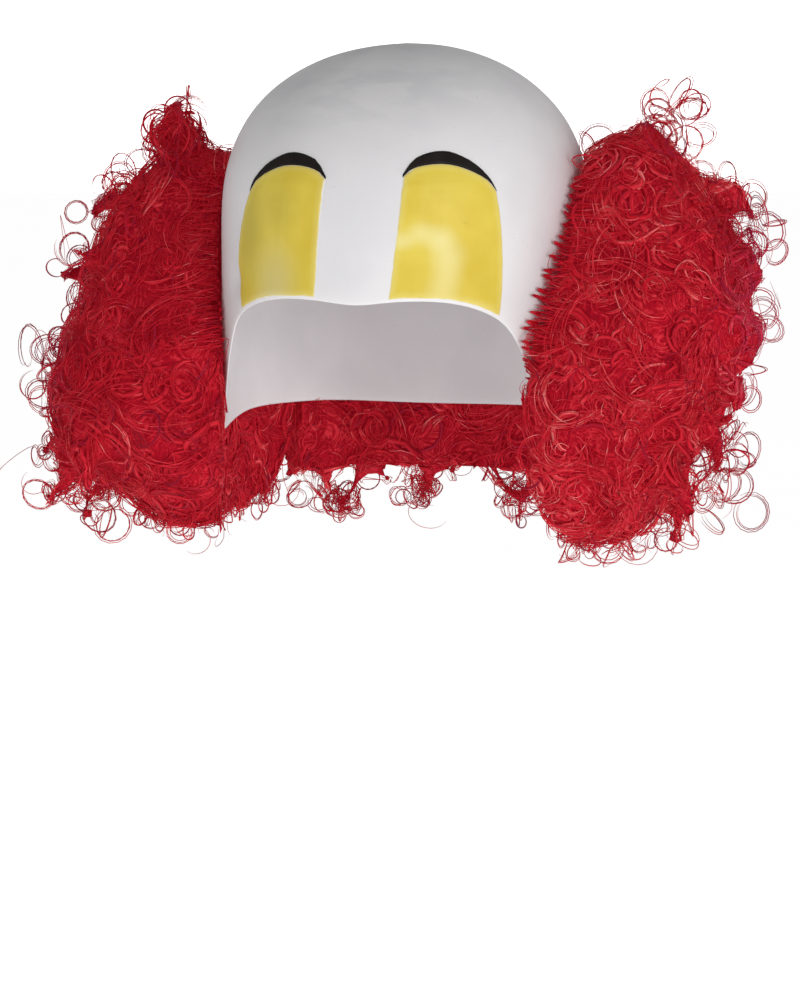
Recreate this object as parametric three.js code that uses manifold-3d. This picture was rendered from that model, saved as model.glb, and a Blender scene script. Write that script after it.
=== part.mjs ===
// A clown wig: a white latex bald cap with tall yellow eye patches and black crescent brows painted on its
// forehead, and curly red hair sewn round its sides and nape.
//
// Millimetres, +Z up. The face is towards -Y and the wearer's left is +X.
// The origin is the inside of the crown, where the cap rests on the head.

import * as THREE from 'three';
import { mergeVertices } from 'three/addons/utils/BufferGeometryUtils.js';
import { ParametricGeometry } from 'three/addons/geometries/ParametricGeometry.js';
import Module from 'manifold-3d';

const wasm = await Module();
wasm.setup();

// The head that the cap is stretched over
const headWidth = 157;
const headFront = 96.5;       // the middle of the head to the forehead
const headBack = 102.5;       // the middle of the head to the back of the head
const crownHeight = 70.5;     // the widest level to the top of the head
const napeTuck = 12;          // how far the neck comes in under the back of the head
const crownRoundness = 2.15;  // exponents of the outline: 2 is an ellipse, more is squarer
const headRoundness = 2.15;

// The cap
const latex = 1.5;            // wall thickness
const frontEdge = 106;        // the top of the head down to the edge over the eyes
const napeEdge = 170.5;       // the top of the head down to the edge at the nape
const clearance = 0.3;        // between pieces that lie against each other

// The painted patches and brows
const paint = 0.5;            // thickness of the painted skins
const paintMargin = 0.8;      // bare latex left below each patch
const archPeak = 47.7;        // the top of the head down to the top of a patch
const archInner = 52.8;       // and down to its inner and outer shoulders
const archOuter = 59.7;
const browHeight = 5.9;
const archSquareness = 1.7;   // exponent of the arch at the top of a patch: 2 is an ellipse

// The tufts, one at each side of the head
const leftTop = 37;           // the top of the head down to the top of the tuft's core
const leftHeight = 179;
const leftReach = 74;         // how far the core stands out from the side of the head
const leftCrest = 14;         // length of the lock that stands up at the top
const rightTop = 46;
const rightHeight = 166;
const rightReach = 88;
const rightCrest = 30;
const tuftDepth = 76;         // the middle of the head to the front or the back of a tuft
const lockRoot = 13;          // radius of a corkscrew lock where it leaves the core
const lockTip = 5;
const lockCoil = 5;           // radius of the corkscrew
const lockPitch = 42;         // length of one of its turns
const lockLength = 40;
const locksPerTuft = 23;

// The hair round the nape
const fringeTurn = 125;       // where it meets the tufts, in degrees from the middle of the face
const fringeTop = 84;         // the top of the head down to its upper edge
const fringeHang = 34;        // how far its backing hangs below the edge of the cap
const fringeSwell = 26;       // thickness of its backing
const locksPerFringe = 11;

// Round the head: the edge of the cap, in degrees from the middle of the face.
// drop is a share of the way down from the front edge to the nape edge.
const capEdge = [
  { turn: 0, drop: 0.01 },
  { turn: 12, drop: -0.03 },
  { turn: 26, drop: -0.02 },
  { turn: 36, drop: 0.03 },
  { turn: 46, drop: 0.13 },
  { turn: 52.5, drop: 0.26 },
  { turn: 57, drop: 0.5 },
  { turn: 62, drop: 0.8 },
  { turn: 68, drop: 0.97 },
  { turn: 76, drop: 1 },
  { turn: 100, drop: 0.94 },
  { turn: 180, drop: 1 },
];

// The patches are painted by hand and differ. All are degrees from the middle of the face, and lift is in
// shares of the height of a brow.
const patches = [
  { name: 'left', side: 1, inner: 8.8, innerTop: 13.2, outer: 44.5, outerTop: 43.8, bulge: 1.5, lift: 0.1 },
  { name: 'right', side: -1, inner: 11.1, innerTop: 8.5, outer: 43, outerTop: 39.4, bulge: 3.9, lift: -0.1 },
];

// The height of a brow from its blunt inner tip to its thin outer tip, in shares of its full height
const browSweep = [
  { across: 0, height: 0.25 },
  { across: 0.14, height: 0.74 },
  { across: 0.45, height: 1 },
  { across: 0.7, height: 0.84 },
  { across: 0.9, height: 0.45 },
  { across: 1, height: 0.1 },
];

// The sections of a tuft from its top down. down is a share of its height, inside of half the head's width,
// reach of the tuft's reach, and front and back of the tuft's depth.
const leftSections = [
  { down: 0, inside: 1.15, reach: 0.43, front: 0.1, back: 0.5 },
  { down: 0.1, inside: 0.82, reach: 0.67, front: 0.36, back: 0.78 },
  { down: 0.22, inside: 0.68, reach: 0.85, front: 0.5, back: 0.94 },
  { down: 0.33, inside: 0.58, reach: 1, front: 0.7, back: 1 },
  { down: 0.45, inside: 0.53, reach: 0.97, front: 0.88, back: 1 },
  { down: 0.6, inside: 0.52, reach: 0.85, front: 1, back: 1 },
  { down: 0.72, inside: 0.52, reach: 0.74, front: 0.98, back: 0.98 },
  { down: 0.82, inside: 0.54, reach: 0.59, front: 0.9, back: 0.92 },
  { down: 0.93, inside: 0.62, reach: 0.51, front: 0.72, back: 0.8 },
  { down: 1, inside: 0.76, reach: 0.38, front: 0.46, back: 0.56 },
];
const rightSections = [
  { down: 0, inside: 1, reach: 0.43, front: 0.06, back: 0.4 },
  { down: 0.1, inside: 0.84, reach: 0.61, front: 0.26, back: 0.66 },
  { down: 0.25, inside: 0.66, reach: 0.78, front: 0.5, back: 0.9 },
  { down: 0.4, inside: 0.56, reach: 0.86, front: 0.74, back: 1 },
  { down: 0.55, inside: 0.52, reach: 0.92, front: 0.94, back: 1 },
  { down: 0.68, inside: 0.52, reach: 1, front: 1, back: 1 },
  { down: 0.78, inside: 0.52, reach: 0.88, front: 0.96, back: 0.96 },
  { down: 0.88, inside: 0.55, reach: 0.68, front: 0.88, back: 0.88 },
  { down: 1, inside: 0.7, reach: 0.45, front: 0.6, back: 0.6 },
];

const weld = 0.001;           // corners closer than this are one
const golden = (Math.sqrt(5) - 1) / 2;
const radians = THREE.MathUtils.degToRad;
const mix = THREE.MathUtils.lerp;
const limit = THREE.MathUtils.clamp;

// Reads a column of a table at a place between its rows, on a smooth line that never overshoots them.
function read(table, place, along, column) {
  let row = 1;
  while (row < table.length - 1 && table[row][along] < place) row += 1;
  const slope = (after) => {
    const [from, to] = [table[after - 1], table[after]];
    return from && to ? (to[column] - from[column]) / (to[along] - from[along]) : 0;
  };
  const tangent = (at) => {
    const [before, after] = [slope(at), slope(at + 1)];
    return before * after > 0 ? (2 * before * after) / (before + after) : 0;
  };
  const [from, to] = [table[row - 1], table[row]];
  const span = to[along] - from[along];
  const t = limit((place - from[along]) / span, 0, 1);
  const ease = t * t * (3 - 2 * t);
  const leave = tangent(row - 1) * span * t * (1 - t) ** 2;
  const arrive = tangent(row) * span * t * t * (1 - t);
  return mix(from[column], to[column], ease) + leave - arrive;
}

// A point on the head, or outside it by grow, at an angle from the face and at a height.
function onHead(turn, z, grow) {
  const side = Math.sin(radians(turn));
  const ahead = Math.cos(radians(turn));
  const rise = limit((z + crownHeight) / (crownHeight + grow), 0, 1);
  const round = (1 - rise ** crownRoundness) ** (1 / crownRoundness);
  const sink = Math.max(0, -z - crownHeight) / (napeEdge - crownHeight);
  const length = ahead > 0 ? headFront + grow : headBack + grow - napeTuck * sink * ahead * ahead;
  const bend = 2 / headRoundness;
  return new THREE.Vector3(
    Math.sign(side) * Math.abs(side) ** bend * (headWidth / 2 + grow) * round,
    -Math.sign(ahead) * Math.abs(ahead) ** bend * length * round,
    z,
  );
}

// A height on the crown or below it: share 0 is the top of the head and 1 is the given end.
function headLevel(share, crownShare, end, grow) {
  if (share >= crownShare) return mix(-crownHeight, end, (share - crownShare) / (1 - crownShare));
  const arc = (share / crownShare) * (Math.PI / 2);
  return -crownHeight + (crownHeight + grow) * Math.cos(arc) ** (2 / crownRoundness);
}

// The height of the cap's edge at an angle from the face, the same at both sides.
function edgeHeight(turn) {
  const around = Math.abs(THREE.MathUtils.euclideanModulo(turn + 180, 360) - 180);
  return -mix(frontEdge, napeEdge, read(capEdge, around, 'turn', 'drop'));
}

// A closed solid from a geometry whose faces meet at their corners.
function toSolid(geometry) {
  geometry.deleteAttribute('normal');
  geometry.deleteAttribute('uv');
  const welded = mergeVertices(geometry, weld);
  const corners = welded.index.array;
  const triVerts = [];
  for (let i = 0; i < corners.length; i += 3) {
    const [a, b, c] = corners.slice(i, i + 3);
    if (a !== b && b !== c && c !== a) triVerts.push(a, b, c);
  }
  return new wasm.Manifold(new wasm.Mesh({
    numProp: 3,
    vertProperties: welded.attributes.position.array,
    triVerts: new Uint32Array(triVerts),
  }));
}

function toGeometry(solid) {
  const { vertProperties, triVerts } = solid.getMesh();
  const geometry = new THREE.BufferGeometry();
  geometry.setAttribute('position', new THREE.BufferAttribute(vertProperties, 3));
  geometry.setIndex(new THREE.BufferAttribute(triVerts, 1));
  geometry.computeVertexNormals();
  return geometry;
}

// Moves every corner of a geometry to the point that place gives for it.
function bend(geometry, place) {
  const corners = geometry.attributes.position;
  for (let i = 0; i < corners.count; i += 1) {
    const point = place(corners.getX(i), corners.getY(i), corners.getZ(i));
    corners.setXYZ(i, point.x, point.y, point.z);
  }
  return geometry;
}

const headColumns = 44;
const crownRows = 8;

// The cap is one wall: down the outside from the crown to the edge, and up the inside.
function capShell() {
  const rows = crownRows + 4;
  const crownShare = crownRows / rows;
  const shell = new ParametricGeometry((around, down, target) => {
    const row = Math.round(down * (2 * rows + 1));
    const outside = row <= rows;
    const share = (outside ? row : 2 * rows + 1 - row) / rows;
    const grow = outside ? latex : 0;
    const turn = -360 * around;
    target.copy(onHead(turn, headLevel(share, crownShare, edgeHeight(turn), grow), grow));
  }, headColumns, 2 * rows + 1);
  return toSolid(shell);
}

// The room that the cap and the head under it take, from above the crown to below all the hair.
function headRoom() {
  const grow = latex + clearance;
  const rows = crownRows + 6;
  const crownShare = crownRows / rows;
  const belowHair = -2 * napeEdge;
  const room = new ParametricGeometry((around, down, target) => {
    const turn = -360 * around;
    const row = Math.round(down * (rows + 1));
    if (row > rows) target.set(0, 0, belowHair);
    else target.copy(onHead(turn, headLevel(row / rows, crownShare, belowHair, grow), grow));
  }, headColumns, rows + 1);
  return toSolid(room);
}

// The line of a patch's arched top, from its inner side at 0 to its outer side at 1.
function archHeight(patch, across) {
  const shoulder = mix(archInner, archOuter, across);
  const middle = mix(archInner, archOuter, 0.5);
  const rise = (1 - Math.abs(2 * across - 1) ** archSquareness) ** (1 / archSquareness);
  return -shoulder + rise * (middle - archPeak) + patch.lift * browHeight;
}

// A thin skin of paint on the cap, from a box whose x, y and z run from -0.5 to 0.5.
function skin(columns, rows, place) {
  return toSolid(bend(new THREE.BoxGeometry(1, 1, 1, columns, rows, 1), (x, y, z) => {
    const { turn, height } = place(x + 0.5, y + 0.5);
    return onHead(turn, height, latex + clearance + (z + 0.5) * paint);
  }));
}

// side turns a patch to its own side of the face, and mirrors the box so that its faces stay outwards.
function eyePatch(patch) {
  return skin(10, 7, (across, up) => {
    const share = patch.side > 0 ? across : 1 - across;
    const inner = mix(patch.inner, patch.innerTop, up);
    const outer = mix(patch.outer, patch.outerTop, up) + patch.bulge * 4 * up * (1 - up);
    const turn = patch.side * mix(inner, outer, share);
    return { turn, height: mix(edgeHeight(turn) + paintMargin, archHeight(patch, share), up) };
  });
}

function brow(patch) {
  return skin(14, 1, (across, up) => {
    const share = patch.side > 0 ? across : 1 - across;
    const turn = patch.side * mix(patch.innerTop, patch.outerTop, share);
    const height = browHeight * read(browSweep, share, 'across', 'height');
    return { turn, height: archHeight(patch, share) + clearance + up * height };
  });
}

// A tapered corkscrew of hair from a point, along a direction. Each lock is turned on from the one before it.
function lock(from, direction, length, number) {
  const stepsPerTurn = 7;
  const sides = 6;
  const steps = Math.round((stepsPerTurn * length) / lockPitch);
  const curl = bend(new THREE.CylinderGeometry(lockTip, lockRoot, length, sides, steps), (x, y, z) => {
    const along = y + length / 2;
    const wound = (number * golden + along / lockPitch) * 2 * Math.PI;
    const coil = lockCoil * Math.min(1, (2 * along) / length);
    return new THREE.Vector3(x + coil * Math.cos(wound), along, z + coil * Math.sin(wound));
  });
  const lean = new THREE.Quaternion().setFromUnitVectors(new THREE.Vector3(0, 1, 0), direction.normalize());
  return toSolid(curl.applyQuaternion(lean).translate(from.x, from.y, from.z));
}

// What lies behind the upright plane from the middle of the head to where the fringe meets the left tuft.
// The plane is set back or brought forward by half of the clearance.
function behindTuft(setBack) {
  const size = 4 * headWidth;
  const seam = onHead(fringeTurn, -crownHeight, 0);
  const half = new THREE.BoxGeometry(size, size, 2 * size).translate(0, size / 2 + setBack, 0);
  return toSolid(half.rotateZ(Math.atan2(seam.y, seam.x)));
}

// A point on a tuft's section: around is 0 at its outermost, and positive towards the back.
function onTuft(tuft, down, around, swell) {
  const column = (name) => read(tuft.sections, down, 'down', name);
  const inside = (headWidth / 2) * column('inside');
  const outside = headWidth / 2 + tuft.reach * column('reach');
  const front = -tuftDepth * column('front');
  const back = tuftDepth * column('back');
  return new THREE.Vector3(
    tuft.side * ((inside + outside) / 2 + ((outside - inside) / 2) * Math.cos(around) * swell),
    (front + back) / 2 + ((back - front) / 2) * Math.sin(around) * swell,
    -tuft.top - down * tuft.height,
  );
}

// A full, slightly lumpy core with locks over its outer side, which stand up at the top and hang lower down.
// The golden ratio spreads them evenly without rows.
function tuft(shape) {
  const columns = 20;
  const rows = 12;
  const lumpDepth = 0.05;
  const core = new ParametricGeometry((across, down, target) => {
    const row = Math.round(down * (rows + 2));
    const level = limit((row - 1) / rows, 0, 1);
    const closed = row === 0 || row === rows + 2;
    const around = -2 * Math.PI * across * shape.side;
    const lumps = 1 + lumpDepth * Math.sin(5 * around + 9 * level) * Math.sin(14 * level);
    target.copy(onTuft(shape, level, around, closed ? 0 : lumps));
  }, columns, rows + 2);

  const locks = [lock(onTuft(shape, 0.04, 0, 0.4), new THREE.Vector3(0, 0, 1), shape.crest, 0)];
  for (let i = 1; i < locksPerTuft; i += 1) {
    const down = mix(0.1, 0.8, i / (locksPerTuft - 1));
    const around = radians(mix(-85, 85, (i * golden) % 1));
    const out = onTuft(shape, down, around, 1).sub(onTuft(shape, down, around, 0)).normalize();
    const from = onTuft(shape, down, around, 1).addScaledVector(out, -lockRoot);
    out.z = mix(0.5, -2.4, Math.min(1, 2.2 * down));
    locks.push(lock(from, out, lockLength, i));
  }
  return wasm.Manifold.union([toSolid(core), ...locks]).subtract(headRoom());
}

// A backing with a rounded top and bottom that runs past both seams, and ringlets that hang down it.
function napeFringe() {
  const spread = 180 - fringeTurn;
  const pastSeams = 1.1;
  const bottom = napeEdge + fringeHang;
  const backing = bend(new THREE.BoxGeometry(1, 1, 1, 18, 7, 1), (x, y, z) => {
    const swell = fringeSwell * (1 - Math.abs(2 * y) ** 3) ** 0.5;
    const grow = z < 0 ? 0 : latex + clearance + swell;
    return onHead(180 + 2 * pastSeams * spread * x, -mix(bottom, fringeTop, y + 0.5), grow);
  });

  const locks = [];
  for (let i = 0; i < locksPerFringe; i += 1) {
    const turn = 180 + spread * mix(-0.95, 0.95, i / (locksPerFringe - 1));
    const level = fringeTop + lockRoot + (lockLength / 2) * ((i * golden) % 1);
    const from = onHead(turn, -level, latex + fringeSwell * 0.4);
    locks.push(lock(from, new THREE.Vector3(0, 0, -1), bottom - fringeTop - lockRoot, i));
  }
  return wasm.Manifold.union([toSolid(backing), ...locks]).subtract(headRoom());
}

const left = {
  side: 1, top: leftTop, height: leftHeight, reach: leftReach, crest: leftCrest, sections: leftSections,
};
const right = {
  side: -1, top: rightTop, height: rightHeight, reach: rightReach, crest: rightCrest, sections: rightSections,
};
const pastLeft = behindTuft(-clearance / 2);
const pastRight = pastLeft.mirror([1, 0, 0]);
const fromLeft = behindTuft(clearance / 2);
const fromRight = fromLeft.mirror([1, 0, 0]);

const whiteLatex = { color: 0xe1dee0, roughness: 0.45, metalness: 0 };
const yellowPaint = { color: 0xe2cd4b, roughness: 0.5, metalness: 0 };
const blackPaint = { color: 0x231e20, roughness: 0.4, metalness: 0 };
const redHair = { color: 0xb41423, roughness: 0.55, metalness: 0 };

const wig = new THREE.Group();

function add(name, solid, finish) {
  const mesh = new THREE.Mesh(toGeometry(solid), new THREE.MeshStandardMaterial(finish));
  mesh.name = name;
  wig.add(mesh);
}

add('cap', capShell(), whiteLatex);
for (const patch of patches) {
  add(`eye_patch_${patch.name}`, eyePatch(patch), yellowPaint);
  add(`brow_${patch.name}`, brow(patch), blackPaint);
}
add('tuft_left', tuft(left).subtract(pastLeft), redHair);
add('tuft_right', tuft(right).subtract(pastRight), redHair);
add('nape_fringe', napeFringe().intersect(fromLeft).intersect(fromRight), redHair);

export default wig;
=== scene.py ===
import math

import bpy
import numpy as np
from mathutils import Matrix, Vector, noise
from mathutils.bvhtree import BVHTree


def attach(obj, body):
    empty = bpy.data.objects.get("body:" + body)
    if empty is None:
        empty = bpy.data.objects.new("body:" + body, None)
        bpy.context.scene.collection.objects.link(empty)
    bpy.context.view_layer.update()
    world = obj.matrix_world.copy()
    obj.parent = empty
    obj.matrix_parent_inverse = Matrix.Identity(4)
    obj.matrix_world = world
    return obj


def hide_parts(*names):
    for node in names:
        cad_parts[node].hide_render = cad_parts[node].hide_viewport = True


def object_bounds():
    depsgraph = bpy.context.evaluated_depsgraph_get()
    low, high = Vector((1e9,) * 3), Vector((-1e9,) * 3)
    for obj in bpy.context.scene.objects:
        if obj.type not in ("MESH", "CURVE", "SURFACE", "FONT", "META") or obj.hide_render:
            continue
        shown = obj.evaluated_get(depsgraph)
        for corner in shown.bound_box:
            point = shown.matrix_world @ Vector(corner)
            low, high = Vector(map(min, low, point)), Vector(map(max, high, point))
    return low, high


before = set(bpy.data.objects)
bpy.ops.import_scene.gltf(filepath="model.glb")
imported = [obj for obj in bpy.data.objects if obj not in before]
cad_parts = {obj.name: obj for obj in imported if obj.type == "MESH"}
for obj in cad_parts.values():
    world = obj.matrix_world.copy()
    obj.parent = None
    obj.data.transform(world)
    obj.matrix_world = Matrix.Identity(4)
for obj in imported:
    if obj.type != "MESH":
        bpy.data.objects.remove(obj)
cad_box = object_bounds()


# The bald cap
# One thin shell of white latex, dipped on a form, so it is smooth all over and slightly mottled.
# Stretched over the head it has shallow hollows and one soft crease, and its cut edge is a fine bead.

latex_white = (0.76, 0.745, 0.755)
latex_grey = (0.55, 0.545, 0.57)
latex_shade_lilac = (0.60, 0.50, 0.54)
# Each hollow: its middle, how far it spreads and how deep it goes, in metres
hollows = (
    ((-0.0595, -0.069, -0.099), 0.0055, 0.0016),
    ((-0.031, -0.088, -0.088), 0.014, 0.0007),
    ((0.030, -0.091, -0.074), 0.010, 0.0008),
    ((0.044, -0.082, -0.088), 0.012, 0.0006),
    ((-0.040, -0.080, -0.070), 0.012, 0.0005),
)
crease_start = Vector((0.018, -0.094, -0.066))
crease_end = Vector((0.047, -0.080, -0.096))
crease_width = 0.006
crease_height = 0.0009
undulation = 0.0004
undulation_size = 0.035
head_centre = Vector((0, 0, -0.06))


def copy_node(node, name):
    """A merged copy of a CAD node's mesh, in quads where its triangles pair up, as the selected object."""
    piece = bpy.data.objects.new(name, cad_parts[node].data.copy())
    bpy.context.collection.objects.link(piece)
    bpy.ops.object.select_all(action="DESELECT")
    piece.select_set(True)
    bpy.context.view_layer.objects.active = piece
    bpy.ops.object.mode_set(mode="EDIT")
    bpy.ops.mesh.select_all(action="SELECT")
    bpy.ops.mesh.remove_doubles(threshold=0.00001)
    bpy.ops.mesh.tris_convert_to_quads()
    bpy.ops.object.mode_set(mode="OBJECT")
    return piece


def change(piece, kind, **settings):
    """Adds a modifier to the selected piece and applies it."""
    modifier = piece.modifiers.new(kind.title(), kind)
    for setting, value in settings.items():
        setattr(modifier, setting, value)
    bpy.ops.object.modifier_apply(modifier=modifier.name)


def surface_of(piece):
    return BVHTree.FromObject(piece, bpy.context.evaluated_depsgraph_get())


def latex_relief(point):
    """How far the latex stands out from its even form at a point, in metres."""
    height = undulation * noise.noise(point / undulation_size)
    for middle, spread, depth in hollows:
        height -= depth * math.exp(-((point - Vector(middle)).length / spread) ** 2)
    along = crease_end - crease_start
    share = min(1, max(0, (point - crease_start).dot(along) / along.length_squared))
    away = (point - crease_start - share * along).length / crease_width
    return height + crease_height * math.exp(-away * away) * math.sin(math.pi * share)


class Value:
    """An output of a shader node. Sums on it add Math nodes."""

    def __init__(self, socket):
        self.socket = socket

    def node(self, kind, inputs, output=0, **settings):
        """Adds a node in the same material and gives one of its outputs."""
        tree = self.socket.id_data
        new = tree.nodes.new("ShaderNode" + kind)
        for setting, value in settings.items():
            setattr(new, setting, value)
        for name, value in inputs.items():
            if isinstance(value, Value):
                tree.links.new(value.socket, new.inputs[name])
            else:
                new.inputs[name].default_value = value
        return Value(new.outputs[output])

    def maths(self, operation, first, second):
        return self.node("Math", {0: first, 1: second}, operation=operation)

    def __add__(self, other):
        return self.maths("ADD", self, other)

    def __sub__(self, other):
        return self.maths("SUBTRACT", self, other)

    def __rsub__(self, other):
        return self.maths("SUBTRACT", other, self)

    def __mul__(self, other):
        return self.maths("MULTIPLY", self, other)

    __radd__ = __add__
    __rmul__ = __mul__

    def mottle(self, size, detail=3.0):
        """Noise of a size in metres over these coordinates, from 0 to 1."""
        return self.node("TexNoise", {"Vector": self, "Scale": 1 / size, "Detail": detail})

    def near(self, middle, spread):
        """1 at a point of these coordinates, falling softly to 0 at a spread along each axis."""
        offset = self.node("VectorMath", {0: self, 1: middle}, operation="SUBTRACT")
        share = self.node("VectorMath", {0: offset, 1: spread}, operation="DIVIDE")
        away = self.node("VectorMath", {0: share}, output="Value", operation="LENGTH")
        return away.between(1, 0)

    def between(self, low, high):
        """This value spread softly so that low becomes 0 and high becomes 1."""
        return self.node("MapRange", {"Value": self, 1: low, 2: high}, interpolation_type="SMOOTHSTEP")

    def mix(self, first, second):
        """The first colour where this value is 0 and the second where it is 1."""
        colours = {6: first, 7: second}
        colours = {key: c if isinstance(c, Value) else (*c, 1) for key, c in colours.items()}
        return self.node("Mix", {0: self, **colours}, output=2, data_type="RGBA")

    def bump(self, strength, depth):
        """A normal with this value as its height, depth metres at the most."""
        return self.node("Bump", {"Height": self, "Strength": strength, "Distance": depth})


def material(name, shine=0.4):
    """A new material, its shader and the object's own coordinates."""
    new = bpy.data.materials.new(name)
    new.use_nodes = True
    shader = new.node_tree.nodes["Principled BSDF"]
    shader.inputs["Specular IOR Level"].default_value = shine
    place = new.node_tree.nodes.new("ShaderNodeTexCoord").outputs["Object"]
    return new, shader, Value(place)


def feed(shader, colour, roughness, normal=None):
    """Links a shader's colour, roughness and normal."""
    for socket, value in (("Base Color", colour), ("Roughness", roughness), ("Normal", normal)):
        if isinstance(value, Value):
            shader.id_data.links.new(value.socket, shader.inputs[socket])
        elif value is not None:
            shader.inputs[socket].default_value = value


def finish(piece, paint, node=None):
    """Gives a piece its material and its place in the assembly, and hides the node that it stands in for."""
    piece.data.materials.clear()
    piece.data.materials.append(paint)
    if node:
        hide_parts(node)
    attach(piece, "root")


latex, shader, here = material("cap_latex", shine=0.42)
cloudy = here.mottle(0.045).between(0.35, 0.7)
speckle = here.mottle(0.0009).between(0.33, 0.28)
# Painted shade: the latex turns greyer towards the top of the crown, where less light falls
crown = here.near((0, 0, 0.01), (0.09, 0.11, 0.05))
# Faint smears over the front of the crown, wider than they are high
flat = here.node("VectorMath", {0: here, 1: (1.0, 1.0, 3.0)}, operation="MULTIPLY")
smears = flat.mottle(0.024, detail=4.0).between(0.44, 0.60)
smeared = here.near((-0.005, -0.055, -0.012), (0.080, 0.065, 0.036)) * smears
tint = (cloudy * 0.30 + crown * 0.25 + smeared * 0.42).mix(latex_white, latex_grey)
# Painted shade and painted reflection: beside each tuft the latex turns lilac, as if shaded and tinted by red
# light off the hair, most beside the tuft on the wearer's right
for side, strength in ((-1, 0.75), (1, 0.3)):
    hair_bounce_shade = here.near((side * 0.080, -0.030, -0.080), (0.018, 0.060, 0.075))
    tint = (hair_bounce_shade * strength).mix(tint, latex_shade_lilac)
speckled = (speckle * 0.5).mix(tint, latex_grey)
feed(shader, speckled, 0.40 + cloudy * 0.14, here.mottle(0.0035).bump(0.06, 0.0004))

cap = copy_node("cap", "bald_cap")
change(cap, "SUBSURF", levels=2, render_levels=2)
bpy.ops.object.shade_smooth()
even_cap = surface_of(cap)
for vertex in cap.data.vertices:
    vertex.co += latex_relief(vertex.co) * (vertex.co - head_centre).normalized()
worn_cap = surface_of(cap)
finish(cap, latex, "cap")


# The painted eye patches and brows
# Rubber paint brushed on the latex: tall yellow patches with arched tops, then black crescents along the
# arches. The yellow fades out at its edges. Along the crease in the patch on the wearer's left it is paler as
# painted highlight, low on the other patch it is duller as painted shade, and the brows have a painted sheen.

yellow = (0.720, 0.565, 0.075)
yellow_pale = (0.800, 0.715, 0.300)
yellow_deep = (0.640, 0.470, 0.040)
yellow_olive = (0.480, 0.380, 0.045)
yellow_dull_shaded = (0.620, 0.520, 0.200)
yellow_whitish_shaded = (0.66, 0.60, 0.44)
ochre = (0.48, 0.24, 0.02)
black = (0.006, 0.005, 0.005)
black_sheen = (0.022, 0.017, 0.015)
skin_thickness = 0.0005
skin_gap = 0.0003
paint_height = 0.00008
brow_height = 0.00016
paint_sink = 0.00015
under_brow = 0.0013
arch_foot = -0.072
arch_rise = 0.014

yellow_paint, shader, here = material("patch_paint", shine=0.25)
tone = here.mottle(0.028).between(0.3, 0.7).mix(yellow, yellow_deep)
# Each patch of another tone: its middle, its spread along each axis, how strong it is and its colour
tones = (
    ((-0.050, -0.076, -0.075), (0.013, 0.03, 0.036), 0.7, yellow_olive),
    ((-0.034, -0.086, -0.066), (0.012, 0.03, 0.018), 0.45, yellow_olive),
    # Low on the patch on the wearer's right, duller and whitish tones are painted shade over its pale paint
    ((-0.036, -0.085, -0.098), (0.016, 0.03, 0.026), 0.8, yellow_dull_shaded),
    ((-0.037, -0.084, -0.109), (0.015, 0.03, 0.011), 0.65, yellow_whitish_shaded),
    ((-0.0520, -0.073, -0.103), (0.007, 0.03, 0.012), 0.5, yellow_deep),
    ((-0.0605, -0.066, -0.108), (0.006, 0.03, 0.009), 0.8, ochre),
    ((-0.0582, -0.069, -0.101), (0.0032, 0.02, 0.014), 0.8, ochre),
    # Pale tones along the crease in the patch on the wearer's left are painted highlight
    ((0.020, -0.093, -0.0785), (0.008, 0.03, 0.0055), 0.65, yellow_pale),
    ((0.0275, -0.090, -0.0755), (0.009, 0.03, 0.0070), 0.65, yellow_pale),
    ((0.035, -0.087, -0.078), (0.009, 0.03, 0.0085), 0.75, yellow_pale),
    ((0.038, -0.085, -0.085), (0.010, 0.03, 0.0105), 0.65, yellow_pale),
    ((0.0375, -0.085, -0.093), (0.009, 0.03, 0.0110), 0.55, yellow_pale),
    ((0.035, -0.086, -0.101), (0.010, 0.03, 0.0100), 0.45, yellow_pale),
    ((0.022, -0.092, -0.093), (0.011, 0.03, 0.0110), 0.60, yellow_deep),
    ((0.030, -0.088, -0.107), (0.036, 0.03, 0.0050), 0.50, yellow_pale),
    ((0.0443, -0.081, -0.0713), (0.0012, 0.02, 0.0012), 0.4, yellow_olive),
    ((0.0272, -0.090, -0.1025), (0.0013, 0.02, 0.0013), 0.6, yellow_olive),
)
for middle, spread, strength, colour in tones:
    tone = (here.near(middle, spread) * strength).mix(tone, colour)
# The paint thins a little towards its edge, and its last millimetre is brushed out
edge = here.node("Attribute", {}, output="Fac", attribute_name="edge") + (here.mottle(0.004) - 0.5) * 0.0010
tone = (edge.between(0.0045, 0.0005) * 0.3).mix(tone, yellow_pale)
tone = edge.between(0.0012, 0.0002).mix(tone, latex_white)
feed(shader, tone, 0.36 + here.mottle(0.012) * 0.16, here.mottle(0.0022).bump(0.1, 0.0004))

black_paint, shader, here = material("brow_paint", shine=0.08)
# Painted sheen: the black is mottled at random with a brownish black that stands for the paint's soft sheen
shade = here.mottle(0.006).mix(black, black_sheen)
feed(shader, shade, 0.40 + here.mottle(0.004) * 0.2, here.mottle(0.0015).bump(0.15, 0.0003))


def rim_of(piece):
    """The narrow faces round the edge of a skin, as a surface to measure from."""
    corners = [vertex.co for vertex in piece.data.vertices]
    rim = []
    for face in piece.data.polygons:
        outward = even_cap.find_nearest(face.center)[1]
        if abs(face.normal.dot(outward)) < 0.5:
            rim.append(tuple(face.vertices))
    return BVHTree.FromPolygons(corners, rim)


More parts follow.
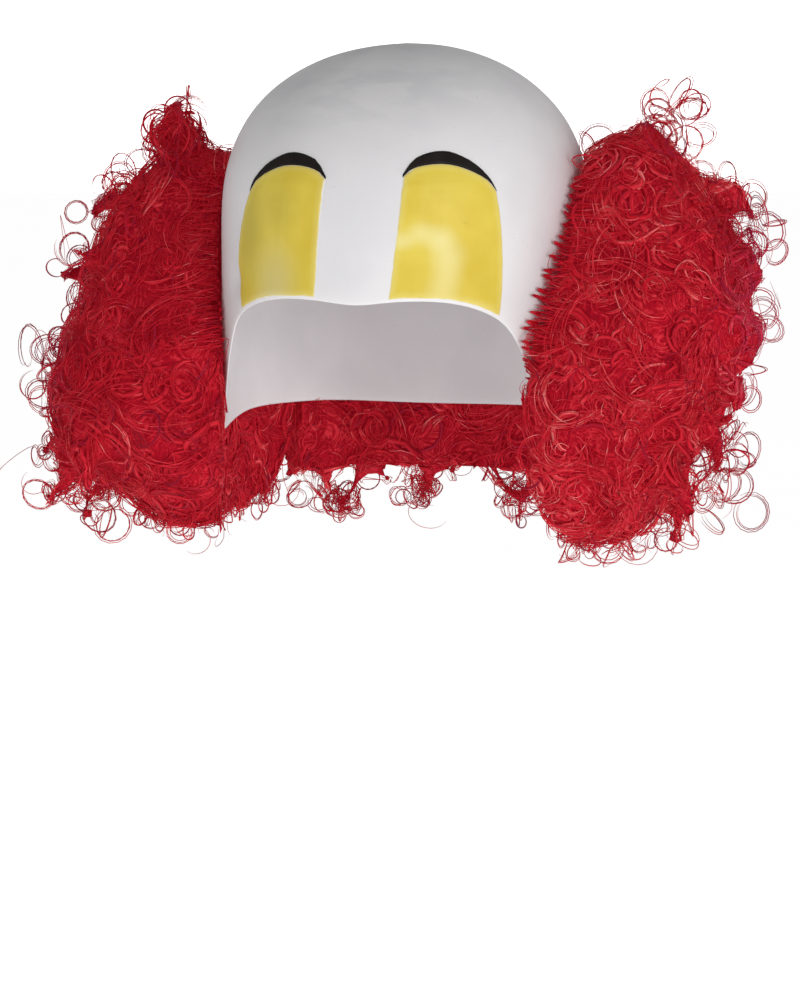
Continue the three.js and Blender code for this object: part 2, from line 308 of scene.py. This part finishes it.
# Each form of skin: its node, its paint, its slot, how high it stands, how far in from its edge it reaches
# that height, and how far the top of its arch runs on, because a patch runs on under its brow
skins = (
    ("eye_patch", yellow_paint, "yellow_paint", paint_height, 0.0012, under_brow),
    ("brow", black_paint, "black_paint", brow_height, 0.0004, 0),
)
for side in ("left", "right"):
    for form, paint, slot, height, fade, run_on in skins:
        skin = copy_node(f"{form}_{side}", f"painted_{form}_{side}")
        change(skin, "SUBSURF", levels=3, render_levels=3, subdivision_type="SIMPLE")
        bpy.ops.object.shade_smooth()
        rim = rim_of(skin)
        inward = [rim.find_nearest(vertex.co)[3] for vertex in skin.data.vertices]
        skin.data.attributes.new("edge", "FLOAT", "POINT").data.foreach_set("value", inward)
        # The skin is drawn in, so that its outer face lies just above the latex and dips in at the edge
        for vertex, distance in zip(skin.data.vertices, inward):
            where, outward, _, _ = even_cap.find_nearest(vertex.co)
            depth = ((vertex.co - where).dot(outward) - skin_gap) / skin_thickness
            top = (height + paint_sink) * min(1, distance / fade)
            lift = run_on * min(1, max(0, (where.z - arch_foot) / arch_rise))
            where, outward, _, _ = worn_cap.find_nearest(where + Vector((0, 0, lift)))
            vertex.co = where + outward * (depth * top - paint_sink)
        finish(skin, paint, f"{form}_{side}")


# The hair's backing
# The mass of fibre behind the outer curls of the two tufts and the nape fringe. It has their full form with
# its locks, and the soft streaks of matted fibre.

hair_matted = (0.270, 0.003, 0.012)
hair_deep = (0.370, 0.004, 0.014)
hair_bright = (0.620, 0.030, 0.046)
hair_glow = 0.18
inset = 0.0025
voxel = 0.0036
smoothing = 10


def glow(shader, colour, strength):
    """The light that passes on through thin fibre, as a faint glow of its own colour."""
    shader.id_data.links.new(colour.socket, shader.inputs["Emission Color"])
    shader.inputs["Emission Strength"].default_value = strength


fibre_mass, shader, here = material("fibre_mass", shine=0.05)
# The streaks of fibre run along z, in a space that is swirled so that they wind in all directions
drift = here.node("TexNoise", {"Vector": here, "Scale": 1 / 0.022, "Detail": 1.0}, output="Color")
drift = drift.node("VectorMath", {0: drift, 1: (0.05, 0.05, 0.05)}, operation="MULTIPLY")
wound = here.node("VectorMath", {0: here, 1: drift}, operation="ADD")
wound = wound.node("VectorMath", {0: wound, 1: (1.0, 1.0, 0.12)}, operation="MULTIPLY")
streaks = wound.mottle(0.0012, detail=2.0)
patchy = here.mottle(0.016) * 0.35 + streaks * 0.65
colour = patchy.between(0.38, 0.5).mix(hair_matted, hair_deep)
colour = patchy.between(0.48, 0.64).mix(colour, hair_bright)
# Painted shade: the lower part of the tuft on the wearer's right turns a deeper red
colour = (here.near((-0.12, 0, -0.16), (0.10, 0.14, 0.11)) * 0.6).mix(colour, hair_deep)
feed(shader, colour, 0.8, streaks.bump(0.8, 0.001))
glow(shader, colour, hair_glow)

cores = {}
for node in ("tuft_left", "tuft_right", "nape_fringe"):
    core = copy_node(node, node + "_mass")
    change(core, "REMESH", mode="VOXEL", voxel_size=voxel)
    change(core, "SMOOTH", factor=0.5, iterations=smoothing)
    change(core, "DISPLACE", strength=-inset, mid_level=0)
    bpy.ops.object.shade_smooth()
    cores[node] = surface_of(core)
    finish(core, fibre_mass, node)


# The curls
# Curly synthetic fibre, in flat bands and in single strands: swirls and waves that lie over the backing, open
# rings that stand out all round and gather at the ends of the locks, and stray hairs.

hair_wine = (0.250, 0.007, 0.032)
hair_red = (0.515, 0.007, 0.020)
hair_glint_pink = (0.800, 0.220, 0.210)
hair_plum = (0.340, 0.020, 0.075)
strand_thickness = 0.00045
stray_thickness = 0.00034
band_thickness = 0.0004
band_widths = (0.0016, 0.0034)
# How wide a hair is along its length, from its root to its tip
taper_places = (0, 0.2, 0.75, 1)
taper_widths = (0.35, 1, 0.85, 0.25)
# The worn head: half its width, its front, its rear, and the depth at which it is fully wide
head_form = (0.0785, 0.0965, 0.1025, 0.0705)
head_squareness = 2.15
nape_slope = 0.12
hair_gap = 0.0028
# A step that grows by more than this when its hair is laid down leaps over a gap, and the hair is left out
leap = 1.7
leap_room = 0.001
# Faces of a hair node that are this close to the cap or to other hair don't show
hidden_within = 0.0045
# How many points each kind of hair has along it
laid_steps = 8
ring_steps = 17
stray_steps = 16
clump_steps = 12
clear_steps = 22
# The least and the most that each kind may measure, in metres
swirl_reach = (0.006, 0.015)
wave_bend = (0.015, 0.032)
ring_radii = (0.0038, 0.0078)
knot_radii = (0.0045, 0.0088)
end_radii = (0.0030, 0.0055)
stray_radii = (0.005, 0.012)
swirl_bands = 6
swirl_strands = 13
wave_strands = 9
root_depth = 0.003
# Lock ends are at least this far apart, and each has this many rings round it
end_reach = 0.022
end_rings = 5
curl_seed = 20
grain_seed = 3

fibre, shader, here = material("curly_fibre", shine=0.12)
# A hair's grain is the place across it, the place along it and a number of its own
grain = here.node("Attribute", {}, output="Vector", attribute_name="grain")
grain = grain.node("VectorMath", {0: grain, 1: (2600.0, 120.0, 1.0)}, operation="MULTIPLY")
streak = grain.mottle(1.0, detail=1.0)
tone = here.node("Attribute", {}, output="Fac", attribute_name="tone") + (streak - 0.5) * 1.5
# Each lighter colour: the tone at which it starts and the tone at which it is full. The pink at the top is
# painted highlight, short glints along the strands
lighter = (
    (-0.1, 0.2, hair_deep),
    (0.15, 0.5, hair_red),
    (0.45, 0.8, hair_bright),
    (0.75, 1.1, hair_glint_pink),
)
shade = hair_wine
for start, full, colour in lighter:
    shade = tone.between(start, full).mix(shade, colour)
# Towards the outer sides, where light comes through from behind, the red turns to plum
for side, strength in ((1, 0.6), (-1, 0.35)):
    shade = (here.near((side * 0.168, 0, -0.12), (0.036, 0.14, 0.10)) * strength).mix(shade, hair_plum)
feed(shader, shade, 0.5 + streak * 0.1, streak.bump(0.5, 0.0003))
glow(shader, shade, hair_glow)


def unit(vectors):
    return vectors / np.linalg.norm(vectors, axis=-1, keepdims=True)


def across(axis):
    """Two directions square to an axis and to each other."""
    side = unit(np.cross(axis, (0.31, 0.87, 0.38)))
    return side, np.cross(axis, side)


def square_to(along, directions):
    """Directions turned so that they are square to the way along a hair."""
    return unit(directions - along * np.sum(directions * along, axis=-1, keepdims=True))


def coil(middle, axis, radius, start, sweep, rise=0.0, growth=0.0, steps=laid_steps):
    """Paths round an axis, one for each radius: from the start angle over the sweep, in steps points."""
    share = np.linspace(0, 1, steps)
    settings = (radius, start, sweep, rise, growth)
    radius, start, sweep, rise, growth = (np.broadcast_to(value, radius.shape)[:, None] for value in settings)
    angle = start + sweep * share
    reach = radius * (1 + growth * share)
    side, other = across(axis)
    paths = side * (reach * np.cos(angle))[..., None] + other * (reach * np.sin(angle))[..., None]
    return middle + paths + axis * (rise * share)[..., None]


def off_head(points):
    """Moves points that are in the head, or closer to it than the cap, out to its sides."""
    width, front, rear, crown = head_form
    x, y, z = points[..., 0], points[..., 1], points[..., 2]
    length = np.where(y < 0, front, rear - nape_slope * np.maximum(0, -z - crown)) + hair_gap
    lift = np.clip((z + crown) / (crown + hair_gap), 0, 0.999)
    full = (1 - lift**head_squareness) ** (1 / head_squareness)
    reach = (np.abs(x) / (width + hair_gap)) ** head_squareness + (np.abs(y) / length) ** head_squareness
    push = np.maximum(1, full / np.maximum(reach ** (1 / head_squareness), 0.05))
    return np.stack((x * push, y * push, z), axis=-1)


def lay(paths, surface, height):
    """Draws paths down on to a surface, to a height over it for each point.

    Gives the way out there as well, and which paths lie whole, without a leap over a gap between locks.
    """
    height = np.broadcast_to(height, paths.shape[:2])
    laid, outwards = np.empty_like(paths), np.empty_like(paths)
    for spot in np.ndindex(paths.shape[:2]):
        where, outward, _, _ = surface.find_nearest(Vector(paths[spot]))
        laid[spot] = where + outward * height[spot]
        outwards[spot] = outward
    before, after = (np.linalg.norm(np.diff(line, axis=1), axis=-1) for line in (paths, laid))
    return laid, outwards, (after < leap * before + leap_room).all(axis=1)


def wall_of(paths, width, outwards):
    """The corners round each point of tapered hairs, and how far each corner lies to the side.

    A hair has three corners round it. Where the way out is given it is a flat band, with four.
    """
    count, steps = paths.shape[:2]
    along = unit(np.gradient(paths, axis=1) + 1e-9)
    if outwards is None:
        corners, thickness = 3, width
        other = across(along[:, 0])[0]
        others = []
        for step in range(steps):
            other = square_to(along[:, step], other)
            others.append(other)
        other = np.stack(others, axis=1)
    else:
        corners, thickness = 4, band_thickness
        other = square_to(along, outwards)
    side = np.cross(other, along)
    taper = np.interp(np.linspace(0, 1, steps), taper_places, taper_widths)[:, None]
    angle = np.arange(corners) * math.tau / corners
    sideways = np.broadcast_to(width / 2, count)[:, None, None] * taper * np.cos(angle)
    outways = thickness / 2 * taper * np.sin(angle) * np.ones((count, 1, 1))
    sideward = side[:, :, None] * sideways[..., None]
    outward = other[:, :, None] * outways[..., None]
    return paths[:, :, None] + sideward + outward, sideways


def hair(name, bundles):
    """One mesh of tapered hairs. Each bundle has paths, a width, tones and, for flat bands, the way out."""
    draw = np.random.default_rng(grain_seed)
    points, faces, tones, grains = [], [], [], []
    first = 0
    for paths, width, tone, outwards in bundles:
        paths = off_head(paths)
        walls, sideways = wall_of(paths, width, outwards)
        points.append(walls.reshape(-1, 3))
        count, steps, corners = sideways.shape
        index = first + np.arange(count * steps * corners).reshape(count, steps, corners)
        first += count * steps * corners
        near, far = index[:, :-1], index[:, 1:]
        sides = np.stack((near, np.roll(near, -1, 2), np.roll(far, -1, 2), far), axis=-1)
        faces += sides.reshape(-1, 4).tolist() + index[:, 0, ::-1].tolist() + index[:, -1].tolist()
        drift = np.linspace(-0.08, 0.08, steps)
        tones.append(np.repeat(tone[:, None] + drift, corners, axis=1).ravel())
        length = np.linalg.norm(np.diff(paths, axis=1, prepend=paths[:, :1]), axis=-1).cumsum(axis=1)
        own = draw.uniform(0, 1000, (count, 1, 1))
        grains.append(np.stack(np.broadcast_arrays(sideways, length[..., None], own), axis=-1).ravel())
    mesh = bpy.data.meshes.new(name)
    mesh.from_pydata(np.concatenate(points), [], faces)
    mesh.attributes.new("tone", "FLOAT", "POINT").data.foreach_set("value", np.concatenate(tones))
    mesh.attributes.new("grain", "FLOAT_VECTOR", "POINT").data.foreach_set("vector", np.concatenate(grains))
    mesh.shade_smooth()
    piece = bpy.data.objects.new(name, mesh)
    bpy.context.collection.objects.link(piece)
    finish(piece, fibre)


def outer_faces(node):
    """The corners, normals and areas of a hair node's faces that don't lie against the cap or other hair."""
    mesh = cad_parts[node].data
    mesh.calc_loop_triangles()
    others = [worn_cap] + [surface for other, surface in cores.items() if other != node]
    corners, normals, areas = [], [], []
    for triangle in mesh.loop_triangles:
        places = [mesh.vertices[corner].co for corner in triangle.vertices]
        middle = sum(places, Vector()) / 3
        if not any(surface.find_nearest(middle, hidden_within)[0] for surface in others):
            corners.append(places)
            normals.append(triangle.normal)
            areas.append(triangle.area)
    return np.array(corners), np.array(normals), np.array(areas)


def scatter(draw, faces, count, edge_power=0):
    """Evenly spread points on faces, with the normals there. edge_power draws them to the outer sides."""
    corners, normals, areas = faces
    tries = 6 * count
    chance = areas * np.linalg.norm(corners.mean(axis=1)[:, :2], axis=-1) ** edge_power
    picked = draw.choice(len(areas), tries, p=chance / chance.sum())
    points = (corners[picked] * draw.dirichlet((1, 1, 1), tries)[..., None]).sum(axis=1)
    kept = [0]
    away = np.full(tries, np.inf)
    for _ in range(count - 1):
        away = np.minimum(away, np.linalg.norm(points - points[kept[-1]], axis=-1))
        # Some chance is left in, so that the spread isn't regular
        kept.append(int(np.argmax(away * draw.uniform(0.6, 1, tries))))
    return zip(points[kept], normals[picked[kept]])


def arched(height, rise):
    """Heights along laid hairs that start low, rise over their middle and come down again."""
    return height[:, None] + rise[:, None] * np.sin(np.linspace(0.2, math.pi, laid_steps))


def swirl(draw, middle, normal, lightest, surface):
    """Flat bands and single strands wound loosely round one spot, laid on the backing."""
    hand = draw.choice((-1, 1))
    reach = draw.uniform(*swirl_reach)
    lightness = draw.normal(lightest, 0.09)
    phase = draw.uniform(0, math.tau)
    bundles = []
    for flat, count in ((True, swirl_bands), (False, swirl_strands)):
        radius = reach * np.sqrt(draw.uniform(0.06, 1.2, count))
        centre = middle + draw.normal(0, 0.0024, (count, 1, 3))
        sweep = hand * draw.uniform(1.2, 3.9, count)
        axis = unit(normal + draw.normal(0, 0.5, 3))
        start = phase + draw.normal(0, 1.6, count)
        paths = coil(centre, axis, radius, start, sweep, growth=draw.uniform(-0.5, 0.6, count))
        tone = lightness + draw.normal(0, 0.1, count)
        if flat:
            height = arched(draw.uniform(0, 0.0009, count), draw.uniform(0, 0.0009, count))
            laid, outwards, whole = lay(paths, surface, height)
            width = draw.uniform(*band_widths, count)
            bundles.append((laid[whole], width[whole], tone[whole], outwards[whole]))
        else:
            height = arched(draw.uniform(0.0003, 0.0014, count), draw.uniform(0, 0.002, count))
            laid, _, whole = lay(paths, surface, height)
            bundles.append((laid[whole], strand_thickness, tone[whole] + 0.08, None))
    return bundles


def wave(draw, middle, normal, lightest, surface):
    """Strands side by side in one wide bend, laid on the backing."""
    bend = draw.uniform(*wave_bend)
    side, other = across(normal)
    turn = draw.uniform(0, math.tau)
    centre = middle - bend * (side * math.cos(turn) + other * math.sin(turn))
    sweep = draw.choice((-1, 1)) * draw.uniform(0.9, 1.7)
    lightness = draw.normal(lightest + 0.05, 0.09)
    count = wave_strands
    radius = bend + draw.normal(0, 0.0022, count)
    start = turn - sweep / 2 + draw.normal(0, 0.15, count)
    paths = coil(centre, normal, radius, start, sweep, growth=draw.uniform(-0.2, 0.2, count))
    height = arched(draw.uniform(0.0006, 0.002, count), draw.uniform(0, 0.003, count))
    laid, _, whole = lay(paths, surface, height)
    tone = lightness + draw.normal(0.05, 0.1, count)
    return laid[whole], strand_thickness, tone[whole], None


def ringlet(draw, root, normal, radius, count=3):
    """A few hairs that leave a root together and curl in one ring, which stands in an upright plane."""
    outwards = unit(normal + draw.normal(0, 0.35, 3))
    axis = unit(np.cross(outwards, (0, 0, 1)) + draw.normal(0, 0.35, 3))
    side, other = across(axis)
    middle = root + outwards * radius * draw.uniform(0.3, 1.15)
    start = math.atan2(np.dot(-outwards, other), np.dot(-outwards, side))
    paths = coil(
        middle,
        axis,
        radius * (1 + draw.normal(0, 0.09, count)),
        start + draw.normal(0, 0.2, count),
        draw.choice((-1, 1)) * (draw.uniform(4.6, 8.2) + draw.normal(0, 0.5, count)),
        draw.normal(0, 0.003) + draw.normal(0, 0.001, count),
        draw.uniform(-0.35, 0.1),
        steps=ring_steps,
    )
    return paths, strand_thickness, draw.normal(0.28, 0.13) + draw.normal(0, 0.08, count), None


def stray(draw, middle, normal):
    """One thin hair that has come loose and stands off the rest in a wide curl."""
    axis = unit(normal + draw.normal(0, 0.5, 3))
    radius = draw.uniform(*stray_radii, 1)
    side, other = across(axis)
    start = draw.uniform(0, math.tau)
    centre = middle - radius * (side * math.cos(start) + other * math.sin(start))
    sweep = draw.choice((-1, 1)) * draw.uniform(3, 6)
    paths = coil(centre, axis, radius, start, sweep, draw.uniform(0.001, 0.005), steps=stray_steps)
    return paths, stray_thickness, draw.normal(0.3, 0.15, 1), None


def lock_ends(node):
    """The lowest points of the hanging locks: the vertices with none lower in their surroundings."""
    spots = np.unique([vertex.co.to_tuple(5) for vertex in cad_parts[node].data.vertices], axis=0)
    hanging = spots[spots[:, 2] < np.quantile(spots[:, 2], 0.35)]
    ends = []
    for spot in hanging:
        nearby = hanging[np.linalg.norm(hanging - spot, axis=1) < end_reach]
        if len(nearby) > 1 and spot[2] == nearby[:, 2].min():
            ends.append(spot)
    return ends


# Each mass of hair: its node, its mean tone, then how many swirls, waves, rings and stray hairs it has. The
# mean tones are painted light and shade: the tuft on the wearer's left is lighter, towards the key light, and
# the one on the right darker
masses = (
    ("tuft_left", 0.52, 165, 120, 190, 90),
    ("tuft_right", 0.36, 165, 120, 190, 90),
    ("nape_fringe", 0.40, 95, 60, 90, 30),
)
# Knots of wider rings where the hair is thin: the middle, how far they spread, how many rings
knots = {
    "tuft_left": (
        ((0.121, 0.0, -0.038), 0.018, 20),
        ((0.150, 0.0, -0.085), 0.024, 26),
        ((0.137, 0.0, -0.190), 0.026, 30),
    ),
    "tuft_right": (
        ((-0.107, 0.0, -0.048), 0.016, 44),
        ((-0.124, 0.0, -0.068), 0.021, 26),
        ((-0.156, 0.0, -0.150), 0.024, 30),
        ((-0.136, 0.0, -0.200), 0.024, 30),
    ),
    "nape_fringe": (
        ((0.066, 0.080, -0.208), 0.022, 14),
        ((-0.066, 0.080, -0.208), 0.022, 14),
    ),
}
# The tight clump on top of the right tuft: its middle, its size across and its number of strands
clump_node = "tuft_right"
clump_middle, clump_size, clump_strands = (-0.1065, 0.0, -0.0405), 0.0125, 110
clump_bands = 33
# The clear rings round it: their middle, radius, start angle, sweep and number of hairs
clear_rings = (
    ((-0.1058, 0.000, -0.0290), 0.0066, -1.0, 7.0, 7),
    ((-0.1010, 0.002, -0.0310), 0.0088, -0.6, 6.0, 5),
    ((-0.0985, 0.004, -0.0440), 0.0125, -0.3, 2.2, 5),
    ((-0.1165, 0.002, -0.0350), 0.0062, 0.6, 4.5, 4),
)


def clump_hair(draw, lightest, flat):
    """One hair of the tight clump, wound round its middle."""
    paths = coil(
        clump_middle + draw.normal(0, clump_size * 0.22, 3),
        unit(draw.normal(0, 0.45, 3) + (0, 1, 0)),
        draw.uniform(0.3, 0.9, 1) * clump_size,
        draw.uniform(0, math.tau),
        draw.choice((-1, 1)) * draw.uniform(2, 5),
        draw.normal(0, 0.003),
        draw.uniform(-0.3, 0.2),
        steps=clump_steps,
    )
    tone = draw.normal(lightest, 0.13, 1)
    if flat:
        return paths, draw.uniform(0.0016, 0.003, 1), tone, unit(paths - clump_middle)
    return paths, strand_thickness, tone + 0.05, None


def clear_ring(draw, middle, radius, start, sweep, count):
    """One ring of hairs that shows clearly against the ground."""
    axis = unit(draw.normal(0, 0.15, 3) + (0, 1, 0))
    radii = radius * (1 + draw.normal(0, 0.05, count))
    start = start + draw.normal(0, 0.1, count)
    paths = coil(middle, axis, radii, start, sweep, 0.003, -0.12, steps=clear_steps)
    return paths, strand_thickness, draw.normal(0.12, 0.08, count), None


for number, (node, lightest, swirls, waves, rings, strays) in enumerate(masses):
    draw = np.random.default_rng(curl_seed + number)
    faces = outer_faces(node)
    surface = cores[node]

    bands, strands = [], []
    for middle, normal in scatter(draw, faces, swirls):
        flat, single = swirl(draw, middle, normal, lightest, surface)
        bands.append(flat)
        strands.append(single)
    for middle, normal in scatter(draw, faces, waves):
        strands.append(wave(draw, middle, normal, lightest, surface))
    if node == clump_node:
        bands += [clump_hair(draw, lightest, True) for _ in range(clump_bands)]
        strands += [clump_hair(draw, lightest, False) for _ in range(clump_strands)]
    hair(node + "_bands", bands)
    hair(node + "_strands", strands)

    stood = []
    for middle, normal in scatter(draw, faces, rings, edge_power=4):
        stood.append(ringlet(draw, middle - normal * root_depth, normal, draw.uniform(*ring_radii)))
    for middle, spread, count in knots[node]:
        for _ in range(count):
            away = unit(draw.normal(0, 1, 3) + (0, 0, 0.3))
            root = np.array(middle) + away * spread * draw.uniform(0.1, 0.7)
            stood.append(ringlet(draw, root, away, draw.uniform(*knot_radii)))
    for end in lock_ends(node):
        for _ in range(end_rings):
            away = unit(draw.normal(0, 1, 3))
            root = end + away * 0.002 + (0, 0, draw.uniform(0, 0.010))
            stood.append(ringlet(draw, root, away, draw.uniform(*end_radii), count=2))
    if node == clump_node:
        stood += [clear_ring(draw, *ring) for ring in clear_rings]
    for middle, normal in scatter(draw, faces, strays, edge_power=3):
        stood.append(stray(draw, middle, normal))
    hair(node + "_loops", stood)


# The weft ends
# The rows of hair are sewn to the cap all along its edge. Fibres run back from the seam over the hair, and
# in front of the tufts the cut ends of each row stick out over the latex in small points.

seam_step = 0.008
root_pitch = 0.0012
weft_pitch = 0.0042
row_gap = 0.009
sewn_within = 0.0025
seam_seed = 50
root_fibres = 4
root_steps = 7
cut_fibres = 6
cut_steps = 5
cut_thickness = 0.0008
# Each seam: its node, the axis that it runs along, the way on from it over bare latex, and if cut ends show
seams = (
    ("tuft_left", 2, (0, -1, 0.1), True),
    ("tuft_right", 2, (0, -1, 0.1), True),
    ("tuft_left", 2, (0, 1, 0.3), False),
    ("tuft_right", 2, (0, 1, 0.3), False),
    ("nape_fringe", 0, (0, 0, 1), False),
)


def seam_line(node, axis, way):
    """The points of a node that lie on the cap and furthest on, in order along an axis."""
    places = [vertex.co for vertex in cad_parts[node].data.vertices]
    sewn = np.array([place for place in places if worn_cap.find_nearest(place, sewn_within)[0]])
    levels = np.arange(sewn[:, axis].min(), sewn[:, axis].max(), seam_step)
    rows = [sewn[np.abs(sewn[:, axis] - level) < seam_step] for level in levels]
    line = np.array([row[np.argmax(row @ way)] for row in rows if len(row)])
    return line[np.argsort(line[:, axis])]


def on_seam(line, axis, level, way):
    """A point of the cap on a seam, the way out there and the way on over the latex."""
    root = Vector([np.interp(level, line[:, axis], line[:, column]) for column in range(3)])
    where, outward, _, _ = worn_cap.find_nearest(root)
    outward = np.array(outward)
    return np.array(where), outward, unit(way - outward * outward.dot(way))


def root_hairs(draw, node, where, outward, onwards):
    """Fibres that leave the cap at the seam and bend over on to the hair's backing."""
    count = root_fibres
    start = where + onwards * draw.uniform(-0.002, 0.003, (count, 1)) + draw.normal(0, 0.0008, (count, 3))
    raised = outward * draw.uniform(0.008, 0.022, (count, 1))
    over = where + (raised - onwards * draw.uniform(-0.002, 0.004, (count, 1)))
    over = over + draw.normal(0, 0.003, (count, 3))
    end = np.array([cores[node].find_nearest(Vector(spot))[0] for spot in over])
    middle = (start + end) / 2 + outward * 0.003 + onwards * 0.003
    share = np.linspace(0, 1, root_steps)[None, :, None]
    start, middle, end = (spots[:, None] for spots in (start, middle, end))
    paths = (1 - share) ** 2 * start + 2 * share * (1 - share) * middle + share**2 * end
    return paths, strand_thickness, draw.normal(0.42, 0.14, count), None


def cut_end(draw, where, outward, onwards):
    """The cut end of one row, a bundle of fibres that comes to a point over the bare latex."""
    tip = where + onwards * draw.uniform(0.004, 0.0075) + outward * draw.uniform(0.001, 0.0025)
    tip = tip + (0, 0, draw.uniform(0, 0.002))
    start = where - onwards * 0.003 + outward * 0.001 + draw.normal(0, 0.0009, (cut_fibres, 3))
    end = tip + draw.normal(0, 0.0003, (cut_fibres, 3))
    share = np.linspace(0, 1, cut_steps)[None, :, None]
    paths = start[:, None] + (end - start)[:, None] * share
    return paths, cut_thickness, draw.normal(0.3, 0.12, cut_fibres), None


weft_ends = []
for number, (node, axis, way, cut_ends) in enumerate(seams):
    draw = np.random.default_rng(seam_seed + number)
    way = unit(np.array(way))
    line = seam_line(node, axis, way)
    others = [surface for other, surface in cores.items() if other != node]
    for level in np.arange(line[0, axis], line[-1, axis], root_pitch):
        where, outward, onwards = on_seam(line, axis, level, way)
        if not any(surface.find_nearest(Vector(where), row_gap)[0] for surface in others):
            weft_ends.append(root_hairs(draw, node, where, outward, onwards))
    if cut_ends:
        for level in np.arange(line[0, axis], line[-1, axis], weft_pitch):
            spot = on_seam(line, axis, level + draw.normal(0, 0.0006), way)
            weft_ends.append(cut_end(draw, *spot))
hair("weft_ends", weft_ends)


# The floor, the light and the camera
# A plain pale floor well below the wig, lit from within like a studio sweep, and broad soft light from the
# front. The camera looks at the wig from its left and a little above, aimed low so that the wig sits high.

floor_drop = 0.6
floor_size = 400
floor_glow = 0.62
backdrop_radius = 12
pale = (0.90, 0.90, 0.90)
paler = (0.93, 0.93, 0.93)
white = (1, 1, 1, 1)
world_light = 0.40
picture = (800, 997)
photo_scale = 0.000445
wig_middle = Vector((0, 0, -0.0735))
wig_pixel = (406.5, 213)
camera_turn = math.radians(13)
camera_rise = math.radians(4)
camera_distance = 1.6
sensor = 36

bpy.ops.mesh.primitive_plane_add(size=floor_size, location=(0, 0, cad_box[0].z - floor_drop))
floor = bpy.context.object
floor.name = "floor"
floor_paint, shader, here = material("floor_paint", shine=0)
feed(shader, here.mottle(0.5).mix(pale, paler), 0.9)
shader.inputs["Emission Color"].default_value = white
shader.inputs["Emission Strength"].default_value = floor_glow
floor.data.materials.append(floor_paint)

# The backdrop is only looked at: it takes no part in the light
bpy.ops.mesh.primitive_uv_sphere_add(segments=48, ring_count=24, radius=backdrop_radius)
backdrop = bpy.context.object
backdrop.name = "backdrop"
backdrop.visible_diffuse = False
backdrop.visible_glossy = False
backdrop.visible_transmission = False
backdrop.visible_shadow = False
bpy.ops.object.shade_smooth()
backdrop_paint, shader, here = material("backdrop_paint", shine=0)
feed(shader, here.mottle(2.0).mix(pale, paler), 0.9)
shader.inputs["Emission Color"].default_value = white
shader.inputs["Emission Strength"].default_value = 1
backdrop.data.materials.append(backdrop_paint)

world = bpy.data.worlds.new("studio")
bpy.context.scene.world = world
world.use_nodes = True
world.node_tree.nodes["Background"].inputs["Color"].default_value = white
world.node_tree.nodes["Background"].inputs["Strength"].default_value = world_light

# Each lamp: its name, place, size in metres and power in watts
lamps = (
    ("key_light", (2.0, -2.0, 0.15), 1.2, 29),
    ("fill_light", (-0.6, -2.5, 0.0), 1.2, 3),
)
for name, place, size, watts in lamps:
    bpy.ops.object.light_add(type="AREA", location=place)
    lamp = bpy.context.object
    lamp.name = name
    lamp.data.shape = "DISK"
    lamp.data.size = size
    lamp.data.energy = watts
    lamp.rotation_euler = (wig_middle - Vector(place)).to_track_quat("-Z", "Y").to_euler()

turn, rise = camera_turn, camera_rise
back = Vector((math.sin(turn) * math.cos(rise), -math.cos(turn) * math.cos(rise), math.sin(rise)))
right = Vector((math.cos(turn), math.sin(turn), 0))
above = right.cross(-back)
sideways = (picture[0] / 2 - wig_pixel[0]) * photo_scale
down = (picture[1] / 2 - wig_pixel[1]) * photo_scale
aim = wig_middle + sideways * right - down * above
eye = wig_middle + camera_distance * back
bpy.ops.object.camera_add(location=eye, rotation=(aim - eye).to_track_quat("-Z", "Y").to_euler())
camera = bpy.context.object
camera.data.sensor_width = sensor
camera.data.lens = camera_distance / photo_scale * sensor / max(picture)
bpy.context.scene.camera = camera
bpy.context.scene.view_settings.view_transform = "Standard"
